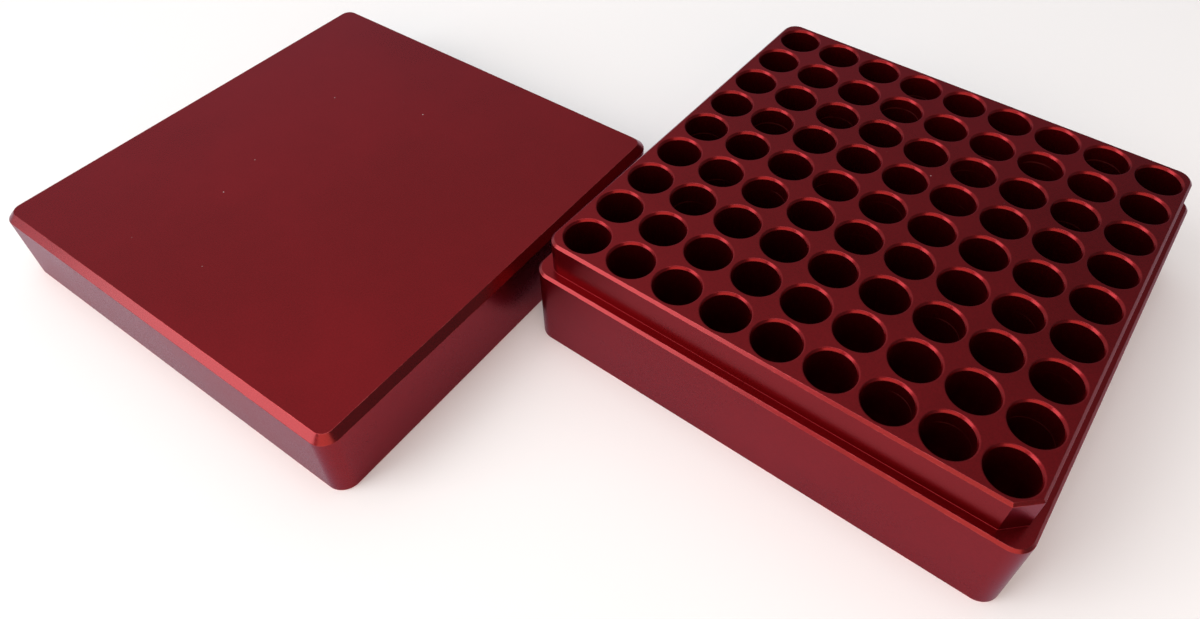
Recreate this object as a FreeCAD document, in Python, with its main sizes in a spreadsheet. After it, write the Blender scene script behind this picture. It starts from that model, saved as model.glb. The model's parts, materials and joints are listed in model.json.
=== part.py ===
import FreeCAD, Part
import math
import os
import Sketcher

# Driving sizes, in millimetres, degrees or plain counts
SIZES = {
    "wells_per_side": 9,
    "well_diameter": 11.8,
    "well_web": 2.2,
    "well_depth": 32.0,
    "floor_dish": 0.05,
    "floor_thickness": 3.9,
    "rim_wall": 2.0,
    "raised_height": 10.25,
    "raised_corner_radius": 4.5,
    "key_cut": 5.0,
    "ledge_width": 2.85,
    "corner_radius": 5.0,
    "edge_chamfer": 0.7,
    "cover_clearance": 0.25,
    "cover_headroom": 9.4,
    "cover_plate": 3.0,
    "cover_chamfer": 2.0,
    "cover_gap": 5.6,
    "cover_shift": 70.6,
    "cover_turn": 1.9,
}

# Sizes that follow from the driving ones
PITCH = "(Sizes.well_diameter + Sizes.well_web)"
GRID_SPAN = f"((Sizes.wells_per_side - 1) * {PITCH})"
RAISED_SIDE = f"({GRID_SPAN} + Sizes.well_diameter + 2 * Sizes.rim_wall)"
BLOCK_SIDE = f"({RAISED_SIDE} + 2 * Sizes.ledge_width)"
BLOCK_HEIGHT = "(Sizes.floor_thickness + Sizes.well_depth)"
LEDGE_HEIGHT = f"({BLOCK_HEIGHT} - Sizes.raised_height)"
POCKET_SIDE = f"({RAISED_SIDE} + 2 * Sizes.cover_clearance)"
POCKET_DEPTH = "(Sizes.raised_height + Sizes.cover_headroom)"
COVER_HEIGHT = f"({POCKET_DEPTH} + Sizes.cover_plate)"
POCKET_RADIUS = "(Sizes.raised_corner_radius + Sizes.cover_clearance)"

# How near two lengths are to count as the same
NEAR = 0.001

# Any length will do for a line or circle as it is first drawn: its constraint then sets it
FIRST_DRAWN = 10.0

FULL_TURN = 360.0
UPRIGHT = FreeCAD.Vector(0, 0, 1)


def make_sheet(doc):
    """Write each driving size to a cell of its own, with its name as alias."""
    sheet = doc.addObject("Spreadsheet::Sheet", "Sizes")
    for row, (name, value) in enumerate(SIZES.items(), start=1):
        sheet.set(f"A{row}", name)
        sheet.set(f"B{row}", str(value))
        sheet.setAlias(f"B{row}", name)
    doc.recompute()
    return sheet


def origin_part(body, role):
    """The plane or axis of the body's own origin that has this role."""
    return next(item for item in body.Origin.OriginFeatures if item.Role == role)


def flat_sketch(body, name, height="0"):
    """An empty sketch parallel to the body's ground plane, at this height."""
    sketch = body.newObject("Sketcher::SketchObject", name)
    sketch.AttachmentSupport = [(origin_part(body, "XY_Plane"), "")]
    sketch.MapMode = "FlatFace"
    sketch.setExpression("AttachmentOffset.Base.z", height)
    return sketch


def square_sketch(body, name, side, height="0"):
    """A square centred on the body's axis, with sides along X and Y."""
    sketch = flat_sketch(body, name, height)
    half = FIRST_DRAWN / 2
    corners = [(-half, -half), (half, -half), (half, half), (-half, half)]
    points = [FreeCAD.Vector(x, y, 0) for x, y in corners]
    for start, end in zip(points, points[1:] + points[:1]):
        sketch.addGeometry(Part.LineSegment(start, end), False)
    for line in range(4):
        sketch.addConstraint(Sketcher.Constraint("Coincident", line, 2, (line + 1) % 4, 1))
    for line in (0, 2):
        sketch.addConstraint(Sketcher.Constraint("Horizontal", line))
    for line in (1, 3):
        sketch.addConstraint(Sketcher.Constraint("Vertical", line))
    sketch.addConstraint(Sketcher.Constraint("Symmetric", 0, 1, 2, 1, -1, 1))
    for line, measure in ((0, "width"), (1, "depth")):
        index = sketch.addConstraint(Sketcher.Constraint("Distance", line, FIRST_DRAWN))
        sketch.renameConstraint(index, measure)
        sketch.setExpression(f"Constraints.{measure}", side)
    return sketch


def pad(body, name, sketch, length):
    """Raise a sketch along +Z by this length."""
    feature = body.newObject("PartDesign::Pad", name)
    feature.Profile = sketch
    feature.setExpression("Length", length)
    body.Document.recompute()
    return feature


def edges_where(shape, test):
    """The names of the shape's edges for which the test holds."""
    return [f"Edge{n}" for n, edge in enumerate(shape.Edges, start=1) if test(edge)]


def is_upright(edge):
    """An edge that runs straight up."""
    start, end = edge.Vertexes[0].Point, edge.Vertexes[-1].Point
    return abs(start.x - end.x) < NEAR and abs(start.y - end.y) < NEAR and abs(start.z - end.z) > NEAR


def is_level_at(edge, height):
    """An edge that lies flat at this height."""
    box = edge.BoundBox
    return abs(box.ZMin - height) < NEAR and abs(box.ZMax - height) < NEAR


def dress(body, kind, name, test, sizes):
    """Round or bevel the edges of the body that pass the test."""
    base = body.Tip
    names = edges_where(base.Shape, test)
    if not names:
        raise RuntimeError(f"{name} found no edge")
    feature = body.newObject(f"PartDesign::{kind}", name)
    feature.Base = (base, names)
    for key, expression in sizes.items():
        feature.setExpression(key, expression)
    body.Document.recompute()
    return feature


def well_section(body):
    """Half of a well's section, right of its axis: an upright wall over a faintly dished floor."""
    sketch = body.newObject("Sketcher::SketchObject", "WellSection")
    sketch.AttachmentSupport = [(origin_part(body, "XZ_Plane"), "")]
    sketch.MapMode = "FlatFace"
    sketch.setExpression("AttachmentOffset.Base.x", f"-{GRID_SPAN} / 2")
    sketch.setExpression("AttachmentOffset.Base.z", f"{GRID_SPAN} / 2")
    reach = FIRST_DRAWN
    top_middle = FreeCAD.Vector(0, 3 * reach, 0)
    low_middle = FreeCAD.Vector(0, reach, 0)
    low_side = FreeCAD.Vector(reach, 2 * reach, 0)
    top_side = FreeCAD.Vector(reach, 3 * reach, 0)
    ball = Part.Circle(FreeCAD.Vector(0, 2 * reach, 0), UPRIGHT, reach)
    axis = sketch.addGeometry(Part.LineSegment(top_middle, low_middle), False)
    floor = sketch.addGeometry(Part.ArcOfCircle(ball, -math.pi / 2, 0), False)
    wall = sketch.addGeometry(Part.LineSegment(low_side, top_side), False)
    mouth = sketch.addGeometry(Part.LineSegment(top_side, top_middle), False)
    for first, second in ((floor, wall), (wall, mouth), (mouth, axis)):
        sketch.addConstraint(Sketcher.Constraint("Coincident", first, 2, second, 1))
    sketch.addConstraint(Sketcher.Constraint("Coincident", axis, 2, floor, 1))
    sketch.addConstraint(Sketcher.Constraint("Vertical", wall))
    sketch.addConstraint(Sketcher.Constraint("Horizontal", mouth))
    for line, point in ((axis, 1), (axis, 2), (floor, 3)):
        sketch.addConstraint(Sketcher.Constraint("PointOnObject", line, point, -2))
    for kind, ends, measure, size in (
        ("DistanceX", (axis, 1, wall, 2), "bore_radius", "Sizes.well_diameter / 2"),
        ("DistanceY", (-1, 1, axis, 1), "top", BLOCK_HEIGHT),
        ("DistanceY", (wall, 1, wall, 2), "wall", "Sizes.well_depth"),
        ("DistanceY", (floor, 1, wall, 1), "dish", "Sizes.floor_dish"),
    ):
        index = sketch.addConstraint(Sketcher.Constraint(kind, *ends, reach))
        sketch.renameConstraint(index, measure)
        sketch.setExpression(f"Constraints.{measure}", size)
    body.Document.recompute()
    return sketch


def cut_wells(body):
    """Turn the first well at the grid's corner, then repeat it along X and Y."""
    before = body.Shape.Volume
    well = body.newObject("PartDesign::Groove", "Well")
    well.Profile = well_section(body)
    well.ReferenceAxis = (well.Profile[0], ["V_Axis"])
    well.Angle = FULL_TURN
    body.Document.recompute()

    grid = body.newObject("PartDesign::LinearPattern", "WellGrid")
    grid.Originals = [well]
    for suffix, role in (("", "X_Axis"), ("2", "Y_Axis")):
        setattr(grid, f"Direction{suffix}", (origin_part(body, role), [""]))
        setattr(grid, f"Mode{suffix}", "Extent")
        grid.setExpression(f"Length{suffix}", GRID_SPAN)
        grid.setExpression(f"Occurrences{suffix}", "Sizes.wells_per_side")
    body.Tip = grid
    body.Document.recompute()
    one_well = before - well.Shape.Volume
    all_wells = before - body.Shape.Volume
    if abs(all_wells / one_well - SIZES["wells_per_side"] ** 2) > NEAR:
        raise RuntimeError("the wells are not all cut")


def value_of(sheet, expression):
    """The number that an expression on the sheet gives."""
    return float(sheet.evalExpression(expression))


def make_block(doc, sheet):
    """The block: a square base, a raised top that leaves a ledge, and the wells."""
    body = doc.addObject("PartDesign::Body", "WellBlock")
    body.Label = "well_block"
    ledge = value_of(sheet, LEDGE_HEIGHT)
    top = value_of(sheet, BLOCK_HEIGHT)

    pad(body, "Base", square_sketch(body, "BaseOutline", BLOCK_SIDE), LEDGE_HEIGHT)
    dress(body, "Fillet", "BaseCorners", is_upright, {"Radius": "Sizes.corner_radius"})
    dress(
        body, "Chamfer", "LedgeEdge",
        lambda edge: is_level_at(edge, ledge),
        {"Size": "Sizes.edge_chamfer"},
    )

    outline = square_sketch(body, "RaisedOutline", RAISED_SIDE, LEDGE_HEIGHT)
    pad(body, "RaisedTop", outline, "Sizes.raised_height")

    def is_raised_corner(edge, at_key):
        middle = edge.CenterOfMass
        return is_upright(edge) and middle.z > ledge and (middle.x > 0 > middle.y) == at_key

    dress(
        body, "Chamfer", "KeyCorner",
        lambda edge: is_raised_corner(edge, at_key=True),
        {"Size": "Sizes.key_cut"},
    )
    dress(
        body, "Fillet", "RaisedCorners",
        lambda edge: is_raised_corner(edge, at_key=False),
        {"Radius": "Sizes.raised_corner_radius"},
    )
    dress(
        body, "Chamfer", "TopEdge",
        lambda edge: is_level_at(edge, top),
        {"Size": "Sizes.edge_chamfer"},
    )
    cut_wells(body)
    return body


def make_cover(doc, sheet):
    """The cover: a square cap, open below, that stands beside the block."""
    body = doc.addObject("PartDesign::Body", "Cover")
    body.Label = "cover"
    top = value_of(sheet, COVER_HEIGHT)
    ceiling = value_of(sheet, POCKET_DEPTH)

    pad(body, "Shell", square_sketch(body, "ShellOutline", BLOCK_SIDE), COVER_HEIGHT)
    dress(body, "Fillet", "ShellCorners", is_upright, {"Radius": "Sizes.corner_radius"})
    dress(
        body, "Chamfer", "ShellTopEdge",
        lambda edge: is_level_at(edge, top),
        {"Size": "Sizes.cover_chamfer"},
    )

    pocket = body.newObject("PartDesign::Pocket", "Inside")
    pocket.Profile = square_sketch(body, "InsideOutline", POCKET_SIDE)
    pocket.Reversed = True
    pocket.setExpression("Length", POCKET_DEPTH)
    before = body.Shape.Volume
    doc.recompute()
    removed = value_of(sheet, POCKET_SIDE) ** 2 * ceiling
    if abs(before - body.Shape.Volume - removed) > NEAR * removed:
        raise RuntimeError("the cover is not hollow")
    half = value_of(sheet, POCKET_SIDE) / 2
    dress(
        body, "Fillet", "InsideCorners",
        lambda edge: is_upright(edge) and abs(abs(edge.CenterOfMass.x) - half) < NEAR
        and edge.CenterOfMass.z < ceiling,
        {"Radius": POCKET_RADIUS},
    )

    body.setExpression("Placement.Base.x", f"-({BLOCK_SIDE} + Sizes.cover_gap)")
    body.setExpression("Placement.Base.y", "-Sizes.cover_shift")
    body.Placement.Rotation = FreeCAD.Rotation(UPRIGHT, SIZES["cover_turn"])
    body.setExpression("Placement.Rotation.Angle", "Sizes.cover_turn * 1 deg")
    doc.recompute()
    return body


def check(doc, bodies):
    """Stop if any feature failed or any finished shape is not one sound solid."""
    for item in doc.Objects:
        if "Invalid" in item.State or "Error" in item.State:
            raise RuntimeError(f"{item.Name} failed: {item.State}")
    for body in bodies:
        shape = body.Shape
        if shape.isNull() or not shape.isValid() or len(shape.Solids) != 1:
            raise RuntimeError(f"{body.Label} is not one valid solid")


def main():
    """Build both pieces, check them and write each to a file of its own."""
    doc = FreeCAD.newDocument("cold_block")
    sheet = make_sheet(doc)
    bodies = [make_block(doc, sheet), make_cover(doc, sheet)]
    doc.recompute()
    check(doc, bodies)
    os.makedirs("parts", exist_ok=True)
    for body in bodies:
        body.Shape.exportStep(f"parts/{body.Label}.step")
        box = body.Shape.BoundBox
        low = [round(side, 2) for side in (box.XMin, box.YMin, box.ZMin)]
        high = [round(side, 2) for side in (box.XMax, box.YMax, box.ZMax)]
        print(body.Label, round(body.Shape.Volume), low, high)


main()
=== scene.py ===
"""A cold block of nine by nine wells and its cover, in bead blasted aluminium anodised deep red.

Lengths are metres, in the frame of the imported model. Both pieces take their place from it.
"""

import json
import logging
import math
from dataclasses import dataclass
from enum import Enum

import bpy
import numpy as np
from mathutils import Matrix, Vector
from mathutils.geometry import delaunay_2d_cdt


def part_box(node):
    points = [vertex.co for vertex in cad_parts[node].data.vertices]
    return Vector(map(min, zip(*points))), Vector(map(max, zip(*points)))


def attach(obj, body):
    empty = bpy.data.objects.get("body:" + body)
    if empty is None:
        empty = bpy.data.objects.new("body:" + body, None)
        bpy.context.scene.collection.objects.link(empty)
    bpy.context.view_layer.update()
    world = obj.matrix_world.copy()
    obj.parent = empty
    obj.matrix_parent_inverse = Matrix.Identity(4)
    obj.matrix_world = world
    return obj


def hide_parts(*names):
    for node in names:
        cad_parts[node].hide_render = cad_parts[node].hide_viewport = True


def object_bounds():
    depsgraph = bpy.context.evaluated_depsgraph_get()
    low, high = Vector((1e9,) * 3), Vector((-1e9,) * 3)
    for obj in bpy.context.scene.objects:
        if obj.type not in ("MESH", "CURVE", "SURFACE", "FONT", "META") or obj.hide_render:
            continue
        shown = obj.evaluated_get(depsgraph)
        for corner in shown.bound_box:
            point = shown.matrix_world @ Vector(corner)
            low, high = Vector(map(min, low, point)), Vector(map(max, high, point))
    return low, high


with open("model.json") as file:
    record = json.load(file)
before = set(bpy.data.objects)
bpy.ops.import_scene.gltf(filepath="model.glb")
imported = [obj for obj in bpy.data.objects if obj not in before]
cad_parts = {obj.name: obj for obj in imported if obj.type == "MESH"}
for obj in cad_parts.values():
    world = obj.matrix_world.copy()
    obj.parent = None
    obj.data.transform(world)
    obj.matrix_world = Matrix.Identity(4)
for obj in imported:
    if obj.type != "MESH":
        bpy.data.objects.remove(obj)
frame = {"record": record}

LOG = logging.getLogger("cold_block")
CAD_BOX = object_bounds()

MM = 0.001
# A length too small to see.
TINY = 0.01 * MM
# The step from a rounding to the guard point beside it, which keeps the next flat's shading even.
GUARD = 0.1 * MM
# Points along each rounding of a section.
ARC_STEPS = 4
# The weighted normals follow the larger faces all the way.
FULL_WEIGHT = 100
# The triangles of a flat top cover the convex hull of its points.
HULL_TRIANGLES = 0
# Points of a flat top that are nearer to each other than this, in millimetres, are one.
WELD_MM = 1e-6
# The sockets of a Mix node that blends colours.
MIX_SHARE, MIX_FIRST, MIX_SECOND, MIX_RESULT = 0, 6, 7, 2

Colour = tuple[float, float, float]
Direction = tuple[float, float, float]
Span = tuple[float, float]
Socket = bpy.types.NodeSocket
Value = float | Socket


class Finish(Enum):
    """The anodised finishes, by the material slot that each piece takes."""

    BLOCK = "block_anodised"
    COVER = "cover_anodised"


@dataclass(frozen=True)
class Section:
    """A path that an outline or a well carries round, with the masks along it.

    Args:
        path: its points, as (offset, height), or as (radius, height) for a well.
        arris: up to 1 on a rounded outer edge, 0 on the flats and in the fillets.
        cut: 1 on the bevels, which are cut after the blasting, and 0 elsewhere.
    """

    path: np.ndarray
    arris: np.ndarray
    cut: np.ndarray

    @classmethod
    def eased(cls, points: list[tuple[float, float]], radii: list[float], cut: list[float]) -> "Section":
        """Rounds each inner point of a path that keeps the piece on its right.

        At a point P, with unit legs u in and v out and tangent length t = radius * tan(turn / 2), the
        arc is P - u t (1 - s)^2 + v t s^2 for s from 0 to 1. A guard point stands at each end of it.
        The arris mask is (1 + sin(pi s)) / 2 along an outward arc.

        Args:
            points: the path's corners; its two ends only give a direction.
            radii: the rounding at each inner point.
            cut: for each leg, whether it is a bevel.

        Returns:
            The eased section.
        """
        corners = np.asarray(points, float)
        legs = np.diff(corners, axis=0)
        legs /= np.linalg.norm(legs, axis=1, keepdims=True)
        into, out = legs[:-1, None], legs[1:, None]
        turn = np.arccos(np.clip(np.sum(legs[:-1] * legs[1:], axis=1), -1.0, 1.0))
        tangent = (np.asarray(radii) * np.tan(turn / 2))[:, None]
        share = np.linspace(0.0, 1.0, ARC_STEPS)[None]
        nothing = np.zeros_like(tangent)
        back = np.hstack([tangent + GUARD, tangent * (1 - share) ** 2, nothing])[..., None]
        ahead = np.hstack([nothing, tangent * share**2, tangent + GUARD])[..., None]
        bends = corners[1:-1, None] - back * into + ahead * out
        outwards = legs[:-1, 0] * legs[1:, 1] - legs[:-1, 1] * legs[1:, 0] > 0
        on_bend = np.concatenate([[0.0], 0.5 + 0.5 * np.sin(math.pi * share[0]), [0.0]])
        along = np.concatenate([[0.0], share[0], [1.0]])
        leg = np.asarray(cut, float)[:, None]
        across = leg[:-1] + (leg[1:] - leg[:-1]) * along
        return cls(bends.reshape(-1, 2), (outwards[:, None] * on_bend).ravel(), across.ravel())


@dataclass(frozen=True)
class Outline:
    """A square outline about its own axis, with round corners, one of which may be cut across.

    Args:
        half: half of the square's side.
        radius: radius of the round corners.
        cut: leg of the cut corner at +X -Y, or 0 where that corner is round too.
        arris: radius of the two upright arrises of the cut.
        steps: columns at each corner, an even number.
    """

    half: float
    radius: float
    cut: float = 0.0
    arris: float = 0.0
    steps: int = 20

    def ring(self, offset: float) -> np.ndarray:
        """The outline moved outwards, as (x, y) rows that run anticlockwise.

        A round corner is centre + radius (cos t, sin t) over a quarter turn. A cut corner is two
        arcs of an eighth of a turn, at the ends of a cut whose leg changes by (2 - sqrt 2) offset.

        Args:
            offset: how far the outline moves, inwards if negative.

        Returns:
            One row for each column of the surface.
        """
        half = self.half + offset
        radius = max(self.radius + offset, TINY)
        quarter = math.pi / 2
        side = np.array([(1, 1), (-1, 1), (-1, -1), (1, -1)], float)[:, None]
        angle = quarter * np.arange(len(side))[:, None] + np.linspace(0.0, quarter, self.steps)[None]
        centre = np.repeat(side * (half - radius), self.steps, axis=1)
        reach = np.full(angle.shape, radius)
        if self.cut:
            small = max(self.arris + offset, TINY)
            leg = self.cut + (2 - math.sqrt(2)) * offset
            slide = small * math.tan(quarter / 4)
            middle = self.steps // 2
            eighth = np.linspace(0.0, quarter / 2, middle)
            angle[-1] = 3 * quarter + np.concatenate([eighth, eighth + quarter / 2])
            centre[-1, :middle] = (half - leg - slide, small - half)
            centre[-1, middle:] = (half - small, leg + slide - half)
            reach[-1] = small
        spoke = np.stack([np.cos(angle), np.sin(angle)], axis=-1)
        return (centre + reach[..., None] * spoke).reshape(-1, 2)

    def surface(self, path: np.ndarray) -> np.ndarray:
        """Carries a section round the outline: each of its points is one ring at its own height.

        Args:
            path: the section's points, as (offset, height).

        Returns:
            A grid of rows x columns x 3.
        """
        rings = np.stack([self.ring(offset) for offset in path[:, 0]])
        height = np.broadcast_to(path[:, 1, None, None], rings.shape[:2] + (1,))
        return np.concatenate([rings, height], axis=2)


def add_object(name: str, data: bpy.types.ID) -> bpy.types.Object:
    """Puts a mesh, a lamp or a camera into the scene.

    Args:
        name: the object's name.
        data: what the object holds.

    Returns:
        The object.
    """
    held = bpy.data.objects.new(name, data)
    bpy.context.scene.collection.objects.link(held)
    return held


def rotation(degrees: float, axis: str) -> Matrix:
    """A turn about one axis, as a 4 x 4 matrix."""
    return Matrix.Rotation(math.radians(degrees), 4, axis)


class Skin:
    """Gathers the surfaces of one piece and puts them into one closed mesh."""

    MASKS = ("arris", "cut", "well", "mark")

    def __init__(self) -> None:
        """Starts empty."""
        self.points: list[np.ndarray] = []
        self.masks: dict[str, list[np.ndarray]] = {name: [] for name in self.MASKS}
        self.faces: list[list[int]] = []
        self.count = 0

    def add_points(self, points: np.ndarray, **masks: np.ndarray | float) -> np.ndarray:
        """Adds points in a grid of any shape.

        Args:
            points: their places, with x, y and z along the last axis.
            masks: each mask's values, which stretch over the grid, or 0 where one isn't given.

        Returns:
            The points' numbers, in the grid's shape.
        """
        flat = points.reshape(-1, 3)
        self.points.append(flat)
        for name, held in self.masks.items():
            value = np.broadcast_to(masks.get(name, 0.0), points.shape[:-1])
            held.append(np.asarray(value, float).reshape(-1))
        numbers = np.arange(self.count, self.count + len(flat)).reshape(points.shape[:-1])
        self.count += len(flat)
        return numbers

    def add_sections(
        self,
        outlines: tuple[Outline, ...],
        sections: tuple[Section, ...],
        place: np.ndarray | None = None,
    ) -> np.ndarray:
        """Adds the surfaces of sections that follow one another, each round its own outline.

        Args:
            outlines: an outline for each section.
            sections: the sections, in order along the surface.
            place: where the surface stands, as a 4 x 4 matrix, or None.

        Returns:
            The points' numbers, as rows of closed rings.
        """
        grid = np.concatenate([line.surface(part.path) for line, part in zip(outlines, sections)])
        if place is not None:
            grid = grid @ place[:3, :3].T + place[:3, 3]
        arris = np.concatenate([part.arris for part in sections])[:, None]
        cut = np.concatenate([part.cut for part in sections])[:, None]
        return self.add_points(grid, arris=arris, cut=cut)

    def join(self, numbers: np.ndarray) -> None:
        """Adds a quad between each two neighbours of each two rings that follow one another.

        Args:
            numbers: the points' numbers, as (..., rows, columns) of closed rings.
        """
        low, high = numbers[..., :-1, :], numbers[..., 1:, :]
        quads = np.stack([low, np.roll(low, -1, -1), np.roll(high, -1, -1), high], axis=-1)
        self.faces += quads.reshape(-1, quads.shape[-1]).tolist()

    def close(self, rings: np.ndarray, middles: np.ndarray) -> None:
        """Adds a fan of triangles from each ring to its own middle point.

        Args:
            rings: the numbers of each ring's points.
            middles: the number of each ring's middle.
        """
        middle = np.broadcast_to(middles[..., None], rings.shape)
        fans = np.stack([rings, np.roll(rings, -1, -1), middle], axis=-1)
        self.faces += fans.reshape(-1, fans.shape[-1]).tolist()

    def cap(self, ring: np.ndarray, upwards: bool) -> None:
        """Adds one flat face inside a ring, looking up or down."""
        self.faces.append((ring if upwards else ring[::-1]).tolist())

    def mesh(self, name: str) -> bpy.types.Object:
        """Builds the object, smooth shaded, with its masks as point attributes.

        Args:
            name: the object's name.

        Returns:
            The object.
        """
        data = bpy.data.meshes.new(name)
        data.from_pydata(np.vstack(self.points), [], self.faces)
        for mask, held in self.masks.items():
            layer = data.attributes.new(mask, "FLOAT", "POINT")
            layer.data.foreach_set("value", np.concatenate(held).astype(np.float32))
        data.shade_smooth()
        data.validate()
        piece = add_object(name, data)
        normals = piece.modifiers.new("weighted_normals", "WEIGHTED_NORMAL")
        normals.weight = FULL_WEIGHT
        return piece


class Graph:
    """Adds nodes to one node tree and links them."""

    def __init__(self, tree: bpy.types.NodeTree) -> None:
        """Clears the tree."""
        self.tree = tree
        tree.nodes.clear()

    def add(
        self, kind: str, inputs: dict[str | int, object] | None = None, **settings: object
    ) -> bpy.types.Node:
        """Adds a node, sets what it is and feeds its sockets.

        Args:
            kind: the node's type, without its ShaderNode prefix where it has one.
            inputs: a value or a socket for each input, by name or number.
            settings: properties of the node.

        Returns:
            The node.
        """
        full = kind if kind.startswith("Node") else f"ShaderNode{kind}"
        node = self.tree.nodes.new(full)
        for name, value in settings.items():
            setattr(node, name, value)
        for key, value in (inputs or {}).items():
            if isinstance(value, Socket):
                self.tree.links.new(value, node.inputs[key])
            else:
                node.inputs[key].default_value = value
        return node

    def use(self, effect: "Effect", **inputs: object) -> bpy.types.bpy_prop_collection:
        """Places an effect here with its own values, and returns its outputs."""
        return self.add("Group", inputs, node_tree=effect.tree).outputs

    def mask(self, name: str) -> Socket:
        """The value of one of the mesh's masks."""
        return self.add("Attribute", attribute_name=name).outputs["Fac"]

    def math(self, operation: str, *values: Value, clamp: bool = False) -> Socket:
        """The result of a Math node on numbers or sockets, kept between 0 and 1 if it is clamped."""
        return self.add("Math", dict(enumerate(values)), operation=operation, use_clamp=clamp).outputs[0]

    def plus(self, first: Value, second: Value) -> Socket:
        """The sum of two values."""
        return self.math("ADD", first, second)

    def times(self, first: Value, second: Value) -> Socket:
        """The product of two values."""
        return self.math("MULTIPLY", first, second)

    def weigh(self, first: Value, second: Value, share: float) -> Socket:
        """The sum of two values of which the second has the given share."""
        return self.plus(self.times(first, 1.0 - share), self.times(second, share))

    def spread(self, value: Value, span: Span, result: Span = (0.0, 1.0)) -> Socket:
        """Maps a value smoothly from one span to another, and no further.

        Args:
            value: the value.
            span: where the result begins to change and where it stops.
            result: what it is at those two values.

        Returns:
            The result's socket.
        """
        sockets = {"Value": value, "From Min": span[0], "From Max": span[1]}
        sockets |= {"To Min": result[0], "To Max": result[1]}
        return self.add("MapRange", sockets, interpolation_type="SMOOTHSTEP").outputs["Result"]

    def noise(self, place: Socket, scale: Value, detail: float) -> Socket:
        """The value of a noise texture."""
        return self.add("TexNoise", {"Vector": place, "Scale": scale, "Detail": detail}).outputs[0]

    def blend(self, share: Value, first: object, second: object) -> Socket:
        """The colour between two colours."""
        sockets = {MIX_SHARE: share, MIX_FIRST: first, MIX_SECOND: second}
        return self.add("Mix", sockets, data_type="RGBA").outputs[MIX_RESULT]


class Effect(Graph):
    """A node group with named sockets, as a graph between its two end nodes."""

    def __init__(self, name: str, inputs: dict[str, str], outputs: dict[str, str]) -> None:
        """Makes the group.

        Args:
            name: its name.
            inputs: the kind of each input socket, by name.
            outputs: the kind of each output socket, by name.
        """
        super().__init__(bpy.data.node_groups.new(name, "ShaderNodeTree"))
        for direction, sockets in (("INPUT", inputs), ("OUTPUT", outputs)):
            for socket, kind in sockets.items():
                self.tree.interface.new_socket(socket, in_out=direction, socket_type=f"NodeSocket{kind}")
        self.source = self.add("NodeGroupInput").outputs
        self.result = self.add("NodeGroupOutput").inputs

    def put_out(self, **results: Socket) -> "Effect":
        """Links each result to the output of its name.

        Args:
            results: the socket for each output.

        Returns:
            The finished effect.
        """
        for name, socket in results.items():
            self.tree.links.new(socket, self.result[name])
        return self


@dataclass(frozen=True)
class BlastGrain:
    """Blasted dimples: fine noise and coarse noise, with flecks where the fine one peaks.

    Args:
        fine_detail: octaves of the fine noise.
        coarse_scale: scale of the coarse noise, as a share of the fine one's.
        coarse_detail: its octaves.
        coarse_share: what it has of the height.
        fleck: the fine noise's values where a fleck begins and where it is full.
    """

    fine_detail: float = 2.0
    coarse_scale: float = 0.34
    coarse_detail: float = 3.0
    coarse_share: float = 0.4
    fleck: Span = (0.3, 0.7)

    def build(self) -> Effect:
        """Builds the group.

        Returns:
            The effect, whose outputs are the dimples' height and the flecks' mask.
        """
        made = Effect(
            "blast_grain", {"Vector": "Vector", "Scale": "Float"}, {"Height": "Float", "Fleck": "Float"}
        )
        place, scale = made.source["Vector"], made.source["Scale"]
        fine = made.noise(place, scale, self.fine_detail)
        coarse = made.noise(place, made.times(scale, self.coarse_scale), self.coarse_detail)
        return made.put_out(
            Height=made.weigh(fine, coarse, self.coarse_share), Fleck=made.spread(fine, self.fleck)
        )


@dataclass(frozen=True)
class DyeTone:
    """Dye that took unevenly: broad soft patches and fine flecks between two reds.

    Args:
        broad_scale: scale of the broad patches' noise.
        broad_detail: its octaves.
        small_scale: scale of the noise within them.
        small_detail: its octaves.
        small_share: what the small noise has of a patch.
        patch: the noise's values where a patch begins and where it is full.
        patch_share: what the patches have of the change from one red to the other.
        fleck_share: what the flecks have of it.
        least: how far towards the light red the rest is.
    """

    broad_scale: float = 26.0
    broad_detail: float = 2.0
    small_scale: float = 210.0
    small_detail: float = 4.0
    small_share: float = 0.2
    patch: Span = (0.3, 0.7)
    patch_share: float = 0.45
    fleck_share: float = 0.35
    least: float = 0.1

    def build(self) -> Effect:
        """Builds the group.

        Returns:
            The effect, whose outputs are the dye's colour and the patches' mask.
        """
        made = Effect(
            "dye_tone",
            {"Vector": "Vector", "Colour": "Color", "Deep": "Color", "Fleck": "Float"},
            {"Colour": "Color", "Patch": "Float"},
        )
        place = made.source["Vector"]
        broad = made.spread(made.noise(place, self.broad_scale, self.broad_detail), self.patch)
        small = made.spread(made.noise(place, self.small_scale, self.small_detail), self.patch)
        patch = made.weigh(broad, small, self.small_share)
        flecks = made.times(made.source["Fleck"], self.fleck_share)
        share = made.plus(made.math("MULTIPLY_ADD", patch, self.patch_share, self.least), flecks)
        colour = made.blend(share, made.source["Deep"], made.source["Colour"])
        return made.put_out(Colour=colour, Patch=patch)


@dataclass(frozen=True)
class ArrisWear:
    """Arrises rubbed thin here and there: the arris mask under broken noise.

    Args:
        scale: scale of the noise.
        detail: its octaves.
        broken: the noise's values where the rubbing begins and where it is full.
        least: the share of the rubbing that is everywhere.
    """

    scale: float = 420.0
    detail: float = 5.0
    broken: Span = (0.42, 0.68)
    least: float = 0.15

    def build(self) -> Effect:
        """Builds the group.

        Returns:
            The effect, whose output is the mask of the rubbed places.
        """
        made = Effect(
            "arris_wear", {"Vector": "Vector", "Arris": "Float", "Amount": "Float"}, {"Mask": "Float"}
        )
        noise = made.noise(made.source["Vector"], self.scale, self.detail)
        broken = made.spread(noise, self.broken, (self.least, 1.0))
        rubbed = made.times(made.source["Arris"], broken)
        return made.put_out(Mask=made.times(rubbed, made.source["Amount"]))


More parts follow.
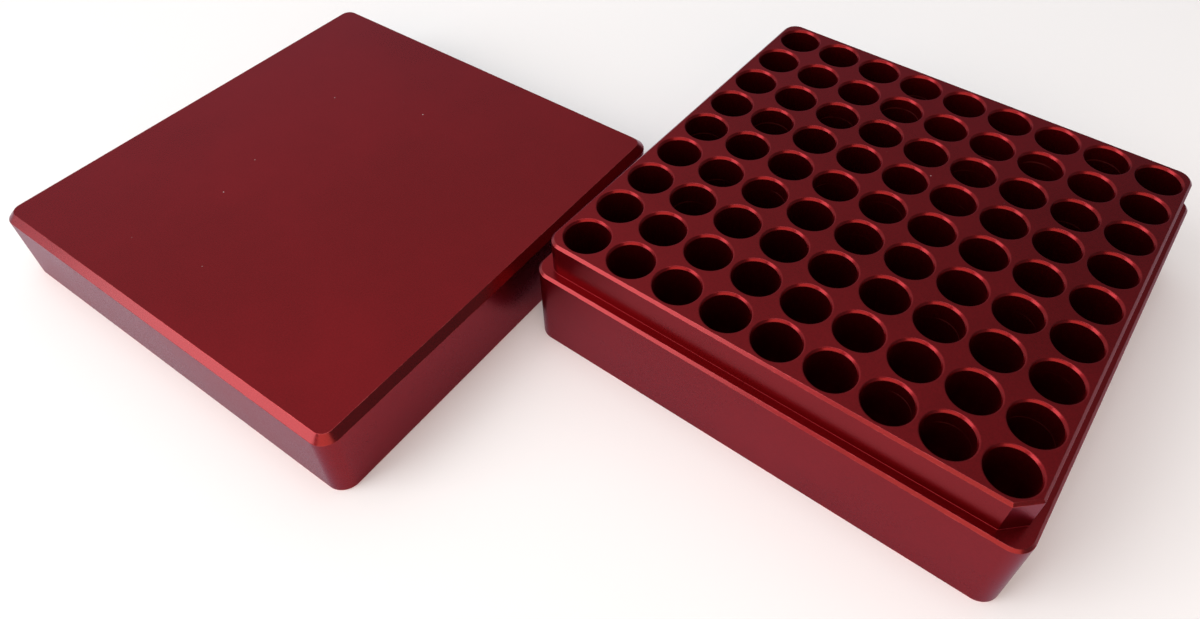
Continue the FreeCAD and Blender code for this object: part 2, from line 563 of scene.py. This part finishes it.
@dataclass(frozen=True)
class DustSpecks:
    """Pale specks: a dot at the middle of the few cells whose random number is low enough.

    Args:
        least: radius of the smallest dots, as a share of a cell.
        more: what the largest add to it.
        soft: width of a dot's soft rim.
    """

    least: float = 0.02
    more: float = 0.045
    soft: float = 0.06

    def build(self) -> Effect:
        """Builds the group.

        Returns:
            The effect, whose output is the mask of the specks.
        """
        made = Effect(
            "dust_specks", {"Vector": "Vector", "Scale": "Float", "Share": "Float"}, {"Mask": "Float"}
        )
        cells = made.add("TexVoronoi", {"Vector": made.source["Vector"], "Scale": made.source["Scale"]})
        chance, size, _ = made.add("SeparateColor", {"Color": cells.outputs["Color"]}).outputs
        chosen = made.math("LESS_THAN", chance, made.source["Share"])
        reach = made.plus(made.times(size, self.more), self.least)
        inside = made.math("SUBTRACT", reach, cells.outputs["Distance"])
        return made.put_out(Mask=made.times(made.spread(inside, (0.0, self.soft)), chosen))


@dataclass(frozen=True)
class ToolRingsPaintedGlint:
    """Turning marks in a well: one bright line at its own height, which is a painted highlight of the
    step that the mark leaves, and a fine even thread.

    Args:
        line: how far from its height the painted highlight line begins to fade and where it ends.
        arc_scale: scale of the noise that leaves the line on a part of the wall.
        arc_detail: its octaves.
        arc: the noise's values where the line begins and where it is full.
        least: the share of the line that is everywhere.
        pitch: height of one turn of the thread.
        swing: half of the thread's depth.
    """

    line: Span = (0.08 * MM, 0.34 * MM)
    arc_scale: float = 85.0
    arc_detail: float = 1.0
    arc: Span = (0.42, 0.58)
    least: float = 0.1
    pitch: float = 0.35 * MM
    swing: float = 0.5

    def build(self) -> Effect:
        """Builds the group: the painted highlight line lies about the mark's height, and the thread is a
        sine of z.

        Returns:
            The effect, whose outputs are the line's mask and the thread's height.
        """
        made = Effect(
            "tool_rings_painted_glint",
            {"Vector": "Vector", "Mark": "Float", "Depth": "Float"},
            {"Mask": "Float", "Height": "Float"},
        )
        height = made.add("SeparateXYZ", {"Vector": made.source["Vector"]}).outputs["Z"]
        away = made.math("ABSOLUTE", made.math("SUBTRACT", height, made.source["Mark"]))
        noise = made.noise(made.source["Vector"], self.arc_scale, self.arc_detail)
        part = made.spread(noise, self.arc, (self.least, 1.0))
        # The line is painted highlight: a lighter colour where light would catch the mark's step, not a
        # mark of its own colour.
        line = made.times(made.spread(away, self.line, (1.0, 0.0)), part)
        thread = made.times(made.math("SINE", made.times(height, 2 * math.pi / self.pitch)), self.swing)
        return made.put_out(Mask=line, Height=made.times(thread, made.source["Depth"]))


class Effects:
    """The effects that both finishes share, each a node group that is built once."""

    def __init__(self) -> None:
        """Builds every group."""
        self.grain = BlastGrain().build()
        self.tone = DyeTone().build()
        self.wear = ArrisWear().build()
        self.dust = DustSpecks().build()
        self.rings = ToolRingsPaintedGlint().build()


def rgba(colour: Colour) -> tuple[float, float, float, float]:
    """A colour with full alpha."""
    return (*colour, 1.0)


@dataclass(frozen=True)
class Anodised:
    """Bead blasted aluminium under a dyed, sealed oxide film.

    Args:
        slot: the material slot of the record.
        colour: the dye where it is light.
        deep: the dye where it is deep.
        edge_tint: what the dye leaves of the metal's reflection at a grazing angle.
        rubbed: the film on a rubbed arris, and the colour of the painted highlight at a turning mark.
        dust: lint and dust that lie on it.
        roughness: the blasted metal's own roughness.
        fleck_roughness: what the flecks add to the roughness.
        patch_roughness: how much smoother the metal is where the dye has no patch.
        dust_roughness: what the dust adds to the roughness.
        well_roughness: roughness of the wells' own walls.
        film: weight of the clear film's own reflection.
        bevel_film: what the smooth bevels add to that weight.
        film_roughness: roughness of the film.
        grain: dimples to the metre.
        grain_height: depth of the dimples.
        ring_height: depth of a well's thread, as a share of theirs.
        wear: how far the arrises are rubbed.
        dust_cells: cells for the dust to the metre.
        dust_share: the share of them that hold a speck.
        level: how far up a face looks where dust begins to lie, and where all of it does.
    """

    slot: Finish
    colour: Colour = (0.235, 0.0035, 0.0075)
    deep: Colour = (0.165, 0.0015, 0.004)
    edge_tint: Colour = (0.64, 0.54, 0.66)
    rubbed: Colour = (0.62, 0.10, 0.10)
    dust: Colour = (0.62, 0.52, 0.52)
    roughness: float = 0.30
    fleck_roughness: float = 0.06
    patch_roughness: float = 0.05
    dust_roughness: float = 0.4
    well_roughness: float = 0.42
    film: float = 0.29
    bevel_film: float = 0.30
    film_roughness: float = 0.22
    grain: float = 2300.0
    grain_height: float = 0.009 * MM
    ring_height: float = 0.35
    wear: float = 0.35
    dust_cells: float = 200.0
    dust_share: float = 0.20
    level: Span = (0.8, 0.95)

    def material(self, effects: Effects) -> bpy.types.Material:
        """Builds the material.

        Args:
            effects: the shared effects.

        Returns:
            The material.
        """
        made = bpy.data.materials.new(self.slot.value)
        made.use_nodes = True
        graph = Graph(made.node_tree)
        place = graph.add("TexCoord").outputs["Object"]
        well = graph.mask("well")
        grain = graph.use(effects.grain, Vector=place, Scale=self.grain)
        tone = graph.use(
            effects.tone,
            Vector=place,
            Colour=rgba(self.colour),
            Deep=rgba(self.deep),
            Fleck=grain["Fleck"],
        )
        worn = graph.use(effects.wear, Vector=place, Arris=graph.mask("arris"), Amount=self.wear)
        rings = graph.use(effects.rings, Vector=place, Mark=graph.mask("mark"), Depth=well)
        specks = graph.use(effects.dust, Vector=place, Scale=self.dust_cells, Share=self.dust_share)
        normal = graph.add("NewGeometry").outputs["Normal"]
        upwards = graph.add("SeparateXYZ", {"Vector": normal}).outputs["Z"]
        settled = graph.times(specks["Mask"], graph.spread(upwards, self.level))

        colour = graph.blend(worn["Mask"], tone["Colour"], rgba(self.rubbed))
        # At each turning mark the rubbed red is laid as a painted highlight of the step in the well's
        # wall.
        colour = graph.blend(rings["Mask"], colour, rgba(self.rubbed))
        colour = graph.blend(settled, colour, rgba(self.dust))
        flecked = graph.times(grain["Fleck"], self.fleck_roughness)
        rough = graph.plus(self.roughness - self.patch_roughness, flecked)
        rough = graph.plus(rough, graph.times(tone["Patch"], self.patch_roughness))
        rough = graph.plus(rough, graph.times(well, self.well_roughness - self.roughness))
        rough = graph.plus(rough, graph.times(settled, self.dust_roughness))
        relief = graph.plus(grain["Height"], graph.times(rings["Height"], self.ring_height))
        bump = graph.add("Bump", {"Height": relief, "Distance": self.grain_height, "Strength": 1.0})
        shader = graph.add(
            "BsdfPrincipled",
            {
                "Base Color": colour,
                "Metallic": graph.math("SUBTRACT", 1.0, settled, clamp=True),
                "Roughness": rough,
                "Normal": bump.outputs["Normal"],
                "Coat Weight": graph.plus(self.film, graph.times(graph.mask("cut"), self.bevel_film)),
                "Coat Roughness": self.film_roughness,
                "Specular Tint": rgba(self.edge_tint),
            },
        )
        graph.add("OutputMaterial", {"Surface": shader.outputs["BSDF"]})
        return made


def hand_over(piece: bpy.types.Object, node: str, finish: Anodised, effects: Effects) -> None:
    """Dresses a piece, puts it on its body and lets it stand for the node that it details.

    Args:
        piece: the piece.
        node: the node.
        finish: its finish.
        effects: the shared effects.
    """
    piece.data.materials.append(finish.material(effects))
    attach(piece, "root")
    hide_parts(node)


@dataclass
class WellBlock:
    """The block: a square base, a raised top with one cut corner, and the grid of wells.

    Args:
        node: the node that it details.
        corner: corner radius of the base.
        raised_inset: width of the ledge.
        raised_height: how far the top stands over the ledge.
        raised_corner: corner radius of the raised top.
        key: leg of its cut corner.
        key_arris: radius of the cut's upright arrises.
        chamfer: bevel of the ledge's and the top's edges.
        mouth: width of the countersink at each well's mouth.
        mouth_depth: depth of that countersink.
        well_depth: depth of the wells.
        arris: rounding of every bevel's two edges.
        lower_arris: rounding of the edge that it stands on.
        mouth_arris: rounding of a mouth's two edges.
        foot: fillet where the raised wall meets the ledge.
        well_fillet: fillet at a well's floor.
        columns: columns round a well.
        mouth_wear: how far a mouth's edges are rubbed, as a share of the outer arrises.
        mouth_film: how much of the outer bevels' smooth film a mouth's bevel has.
        marked: the share of wells with a turning mark.
        mark_depth: where that mark lies under the top, from and to.
        seed: where the random draws begin.
    """

    node: str = "well_block"
    corner: float = 5.0 * MM
    raised_inset: float = 2.85 * MM
    raised_height: float = 10.25 * MM
    raised_corner: float = 4.5 * MM
    key: float = 5.0 * MM
    key_arris: float = 0.35 * MM
    chamfer: float = 0.7 * MM
    mouth: float = 0.5 * MM
    mouth_depth: float = 0.7 * MM
    well_depth: float = 32.0 * MM
    arris: float = 0.15 * MM
    lower_arris: float = 0.3 * MM
    mouth_arris: float = 0.4 * MM
    foot: float = 0.12 * MM
    well_fillet: float = 1.0 * MM
    columns: int = 60
    mouth_wear: float = 0.15
    mouth_film: float = 0.2
    marked: float = 0.3
    mark_depth: Span = (3.5 * MM, 9.0 * MM)
    seed: int = 11

    def __post_init__(self) -> None:
        """Takes the block's own size and the wells' places from the frame."""
        low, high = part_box(self.node)
        self.half = (high.x - low.x) / 2
        self.top = high.z
        self.ledge = self.top - self.raised_height
        bores = [mount for mount in frame["record"]["mounts"] if mount["kind"] == "bore"]
        self.centres = np.array([mount["pos_m"][:2] for mount in bores])
        self.bore = bores[0]["dims"]["r_mm"] * MM

    def base_section(self) -> Section:
        """Draws the base from under its lower edge, up the wall and over the bevel on to the ledge.

        Returns:
            The section.
        """
        return Section.eased(
            [
                (-self.corner, 0.0),
                (0.0, 0.0),
                (0.0, self.ledge - self.chamfer),
                (-self.chamfer, self.ledge),
                (-self.raised_inset, self.ledge),
            ],
            [self.lower_arris, self.arris, self.arris],
            [0, 0, 1, 0],
        )

    def raised_section(self) -> Section:
        """Draws the raised top from the ledge, up its wall and over the bevel on to the top.

        Returns:
            The section.
        """
        return Section.eased(
            [
                (self.chamfer, self.ledge),
                (0.0, self.ledge),
                (0.0, self.top - self.chamfer),
                (-self.chamfer, self.top),
                (-2 * self.chamfer, self.top),
            ],
            [self.foot, self.arris, self.arris],
            [0, 0, 1, 0],
        )

    def well_section(self) -> Section:
        """Draws a well from the top, in over the bevel and down the bore to the floor.

        Returns:
            The section, with points as (radius, height).
        """
        floor = self.top - self.well_depth
        return Section.eased(
            [
                (self.bore + self.corner, self.top),
                (self.bore + self.mouth, self.top),
                (self.bore, self.top - self.mouth_depth),
                (self.bore, floor),
                (0.0, floor),
            ],
            [self.mouth_arris, self.mouth_arris, self.well_fillet],
            [0, 1, 0, 0],
        )

    def cut_wells(self, skin: Skin) -> np.ndarray:
        """Adds every well.

        A well is centre + radius (cos t, sin t) at each height of the section, with t a full turn.

        Args:
            skin: takes the wells' surfaces.

        Returns:
            The numbers of the rings that the mouths start from.
        """
        section = self.well_section()
        path = section.path
        turn = np.linspace(0.0, 2 * math.pi, self.columns, endpoint=False)
        spoke = np.stack([np.cos(turn), np.sin(turn)], axis=-1)
        flat = self.centres[:, None, None] + path[None, :, None, :1] * spoke[None, None]
        height = np.broadcast_to(path[None, :, None, 1:], flat.shape[:-1] + (1,))
        random = np.random.default_rng(self.seed)
        wells = len(self.centres)
        mark = self.top - random.uniform(*self.mark_depth, wells)
        mark = np.where(random.random(wells) < self.marked, mark, 0.0)[:, None, None]
        inside = (path[:, 1] < self.top - self.mouth_depth)[None, :, None].astype(float)
        numbers = skin.add_points(
            np.concatenate([flat, height], axis=3),
            arris=self.mouth_wear * section.arris[None, :, None],
            cut=self.mouth_film * section.cut[None, :, None],
            well=inside,
            mark=mark,
        )
        skin.join(numbers)
        floor = np.column_stack([self.centres, np.full(wells, path[-1, 1])])
        skin.close(numbers[:, -1], skin.add_points(floor, well=1.0))
        return numbers[:, 0]

    def lay_top(self, skin: Skin, rim: np.ndarray, mouths: np.ndarray) -> None:
        """Fills the flat top with triangles whose edges follow the rim and the mouths.

        A triangle with all its corners on one mouth lies inside that mouth, and is left out.

        Args:
            skin: holds the points and takes the faces.
            rim: the numbers of the ring round the top.
            mouths: the numbers of the ring round each mouth.
        """
        numbers = np.concatenate([rim, mouths.ravel()])
        places = np.vstack(skin.points)[numbers, :2] / MM
        loops = [np.arange(len(rim)), *(len(rim) + np.arange(mouths.size).reshape(mouths.shape))]
        edges = np.vstack([np.column_stack([loop, np.roll(loop, -1)]) for loop in loops])
        _, _, triangles, sources, _, _ = delaunay_2d_cdt(
            [Vector(place) for place in places], edges.tolist(), [], HULL_TRIANGLES, WELD_MM
        )
        origin = np.array([first[0] for first in sources])
        faces = origin[np.array(triangles)]
        owner = np.concatenate([np.zeros(len(rim)), np.repeat(np.arange(len(mouths)) + 1, self.columns)])
        owners = owner[faces]
        in_mouth = (owners[:, 0] > 0) & (owners == owners[:, :1]).all(axis=1)
        skin.faces += numbers[faces[~in_mouth]].tolist()

    def build(self, finish: Anodised, effects: Effects) -> bpy.types.Object:
        """Builds the whole block and hands it over.

        Args:
            finish: its finish.
            effects: the shared effects.

        Returns:
            The block.
        """
        skin = Skin()
        base = Outline(self.half, self.corner)
        raised = Outline(self.half - self.raised_inset, self.raised_corner, self.key, self.key_arris)
        numbers = skin.add_sections((base, raised), (self.base_section(), self.raised_section()))
        skin.join(numbers)
        skin.cap(numbers[0], upwards=False)
        self.lay_top(skin, numbers[-1], self.cut_wells(skin))
        piece = skin.mesh("well_block_machined")
        hand_over(piece, self.node, finish, effects)
        return piece


@dataclass
class Cover:
    """The cover, open below, that stands beside the block.

    Args:
        node: the node that it details.
        side: its side.
        turn: how far it is turned about +Z, in degrees.
        corner: corner radius outside.
        wall: thickness of its walls.
        plate: thickness of its top.
        inner_corner: corner radius of the pocket.
        chamfer: bevel round its top.
        arris: rounding of the bevel's two edges.
        lower_arris: rounding of the rim's two edges.
        pocket_fillet: fillet under the plate.
    """

    node: str = "cover"
    side: float = 133.5 * MM
    turn: float = 1.9
    corner: float = 5.0 * MM
    wall: float = 2.6 * MM
    plate: float = 3.0 * MM
    inner_corner: float = 4.75 * MM
    chamfer: float = 2.0 * MM
    arris: float = 0.18 * MM
    lower_arris: float = 0.3 * MM
    pocket_fillet: float = 1.0 * MM

    def __post_init__(self) -> None:
        """Takes the cover's place and height from the frame."""
        low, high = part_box(self.node)
        self.centre = (low + high) / 2
        self.top = high.z

    def inner_section(self) -> Section:
        """Draws the pocket from under the plate, down its wall and on to the rim.

        Returns:
            The section.
        """
        ceiling = self.top - self.plate
        return Section.eased(
            [(-self.wall, ceiling), (0.0, ceiling), (0.0, 0.0), (self.wall, 0.0)],
            [self.pocket_fillet, self.lower_arris],
            [0, 0, 0],
        )

    def outer_section(self) -> Section:
        """Draws the outside from the rim, up the wall and over the bevel on to the top.

        Returns:
            The section.
        """
        return Section.eased(
            [
                (-self.wall, 0.0),
                (0.0, 0.0),
                (0.0, self.top - self.chamfer),
                (-self.chamfer, self.top),
                (-self.corner, self.top),
            ],
            [self.lower_arris, self.arris, self.arris],
            [0, 0, 1, 0],
        )

    def build(self, finish: Anodised, effects: Effects) -> bpy.types.Object:
        """Builds the cover and hands it over.

        Args:
            finish: its finish.
            effects: the shared effects.

        Returns:
            The cover.
        """
        half = self.side / 2
        outlines = (Outline(half - self.wall, self.inner_corner), Outline(half, self.corner))
        sections = (self.inner_section(), self.outer_section())
        place = Matrix.Translation((self.centre.x, self.centre.y, 0.0))
        stand = np.array(place @ rotation(self.turn, "Z"))
        skin = Skin()
        numbers = skin.add_sections(outlines, sections, stand)
        skin.join(numbers)
        skin.cap(numbers[0], upwards=False)
        skin.cap(numbers[-1], upwards=True)
        piece = skin.mesh("cover_machined")
        hand_over(piece, self.node, finish, effects)
        return piece


@dataclass(frozen=True)
class Softbox:
    """A flat lamp that looks at the object.

    Args:
        name: its name.
        towards: direction from the object to the lamp.
        distance: how far away it is.
        size: its width and height.
        radiance: how bright it looks, where 1 is white.
        colour: its tint.
    """

    name: str
    towards: Direction
    distance: float
    size: tuple[float, float]
    radiance: float
    colour: Colour

    def hang(self, target: Vector) -> None:
        """Hangs the lamp: its power is radiance times pi times its area.

        Args:
            target: what it looks at.
        """
        lamp = bpy.data.lights.new(self.name, "AREA")
        lamp.shape = "RECTANGLE"
        lamp.size, lamp.size_y = self.size
        lamp.energy = self.radiance * math.pi * self.size[0] * self.size[1]
        lamp.color = self.colour
        held = add_object(self.name, lamp)
        towards = Vector(self.towards).normalized()
        held.location = target + towards * self.distance
        held.rotation_euler = towards.to_track_quat("Z", "Y").to_euler()
        LOG.info("lamp %s at %s", self.name, tuple(round(value, 2) for value in held.location))


@dataclass(frozen=True)
class Studio:
    """The pale floor, the sky round it and the lamps.

    Args:
        floor_colour: the floor's own colour.
        floor_half: half of the floor's side.
        dark: brightness of the sky on its dark side.
        ambient: brightness of the sky between its two sides.
        glow: what the bright side of the sky adds.
        glow_towards: direction of that side.
        ambient_span: how near to that direction the sky leaves the dark, and where it is ambient.
        glow_span: how near to it the glow begins, and where it is full.
        horizon: what the horizon adds in front.
        horizon_span: the heights where it is full and where it ends.
        front: direction of the front.
        front_span: how near to the front the horizon begins to brighten, and where it is full.
        behind: the share of it that is left behind the object.
        lamps: the softboxes.
    """

    floor_colour: Colour = (0.95, 0.95, 0.955)
    floor_half: float = 12.0
    dark: float = 0.16
    ambient: float = 0.33
    glow: float = 0.50
    glow_towards: Direction = (-0.6, 0.0, 0.8)
    ambient_span: Span = (-0.4, 0.5)
    glow_span: Span = (0.45, 1.0)
    horizon: float = 0.72
    horizon_span: Span = (0.0, 0.45)
    front: Direction = (-0.5, -0.86, 0.0)
    front_span: Span = (-0.7, 0.5)
    behind: float = 0.15
    lamps: tuple[Softbox, ...] = (
        Softbox(
            "window",
            towards=(-0.45, -0.72, 0.55),
            distance=1.2,
            size=(0.73, 1.2),
            radiance=3.0,
            colour=(1.0, 0.99, 0.99),
        ),
        Softbox(
            "warm_fill",
            towards=(0.48, -0.74, 0.46),
            distance=1.2,
            size=(1.4, 0.8),
            radiance=1.7,
            colour=(1.0, 0.62, 0.46),
        ),
        Softbox(
            "overhead",
            towards=(0.1, -0.1, 0.99),
            distance=1.1,
            size=(0.6, 0.6),
            radiance=2.3,
            colour=(0.93, 0.98, 1.0),
        ),
    )

    def build(self) -> None:
        """Lays the floor and lights it."""
        self.lay_floor()
        self.paint_sky()
        low, high = CAD_BOX
        target = (Vector(low) + Vector(high)) / 2
        for lamp in self.lamps:
            lamp.hang(target)

    def lay_floor(self) -> None:
        """Lays a flat square at height 0, kept off the object by the thickness of a film."""
        data = bpy.data.meshes.new("floor")
        corners = np.array([(-1, -1, 0), (1, -1, 0), (1, 1, 0), (-1, 1, 0)], float) * self.floor_half
        corners[:, 2] = -TINY
        data.from_pydata(corners, [], [list(range(len(corners)))])
        floor = add_object("floor", data)
        made = bpy.data.materials.new("floor")
        made.use_nodes = True
        graph = Graph(made.node_tree)
        shader = graph.add("BsdfDiffuse", {"Color": rgba(self.floor_colour)})
        graph.add("OutputMaterial", {"Surface": shader.outputs["BSDF"]})
        data.materials.append(made)

    def paint_sky(self) -> None:
        """Paints a neutral sky, pale at the horizon and with one bright side."""
        sky = bpy.data.worlds.new("studio")
        sky.use_nodes = True
        bpy.context.scene.world = sky
        graph = Graph(sky.node_tree)
        way = graph.add("TexCoord").outputs["Generated"]
        height = graph.add("SeparateXYZ", {"Vector": way}).outputs["Z"]
        near, ahead = (
            graph.add("VectorMath", {0: way, 1: other}, operation="DOT_PRODUCT").outputs["Value"]
            for other in (self.glow_towards, self.front)
        )
        wide = graph.spread(near, self.ambient_span, (self.dark, self.ambient))
        side = graph.spread(near, self.glow_span, (0.0, self.glow))
        low = graph.spread(height, self.horizon_span, (self.horizon, 0.0))
        low = graph.times(low, graph.spread(ahead, self.front_span, (self.behind, 1.0)))
        total = graph.plus(graph.plus(wide, side), low)
        light = graph.add("Background", {"Color": rgba((1.0, 1.0, 1.0)), "Strength": total})
        graph.add("OutputWorld", {"Surface": light.outputs["Background"]})


@dataclass(frozen=True)
class Viewpoint:
    """The camera.

    Args:
        place: where it stands.
        down: how far it looks down, in degrees.
        turn: how far it is turned from +Y towards -X, in degrees.
        roll: its tilt about its own axis, in degrees.
        lens: focal length in millimetres.
        sensor: width of the sensor in millimetres.
        shift: the framing's shift across and up.
        nearest: the nearest that it sees.
    """

    place: tuple[float, float, float] = (0.0460887, -0.1785348, 0.1982613)
    down: float = 47.186
    turn: float = 36.469
    roll: float = 0.474
    lens: float = 26.51083
    sensor: float = 36.0
    shift: tuple[float, float] = (-0.019355, -0.040189)
    nearest: float = 10.0 * MM

    def build(self) -> None:
        """Sets up the camera and makes it the scene's own."""
        data = bpy.data.cameras.new("viewpoint")
        data.lens = self.lens
        data.sensor_width = self.sensor
        data.sensor_fit = "HORIZONTAL"
        data.shift_x, data.shift_y = self.shift
        data.clip_start = self.nearest
        held = add_object("viewpoint", data)
        turn = rotation(self.turn, "Z")
        tilt = rotation(90.0 - self.down, "X")
        roll = rotation(self.roll, "Z")
        held.matrix_world = Matrix.Translation(self.place) @ turn @ tilt @ roll
        bpy.context.scene.camera = held
        LOG.info("camera at %s", self.place)


def main() -> None:
    """Builds the pieces in order, then the studio and the camera."""
    logging.basicConfig(level=logging.INFO, format="%(name)s: %(message)s")
    bpy.context.scene.view_settings.view_transform = "Standard"
    effects = Effects()
    block = WellBlock().build(Anodised(Finish.BLOCK), effects)
    cover = Cover().build(Anodised(Finish.COVER), effects)
    for piece in (block, cover):
        LOG.info("%s: %d faces", piece.name, len(piece.data.polygons))
    Studio().build()
    Viewpoint().build()


if __name__ == "__main__":
    main()
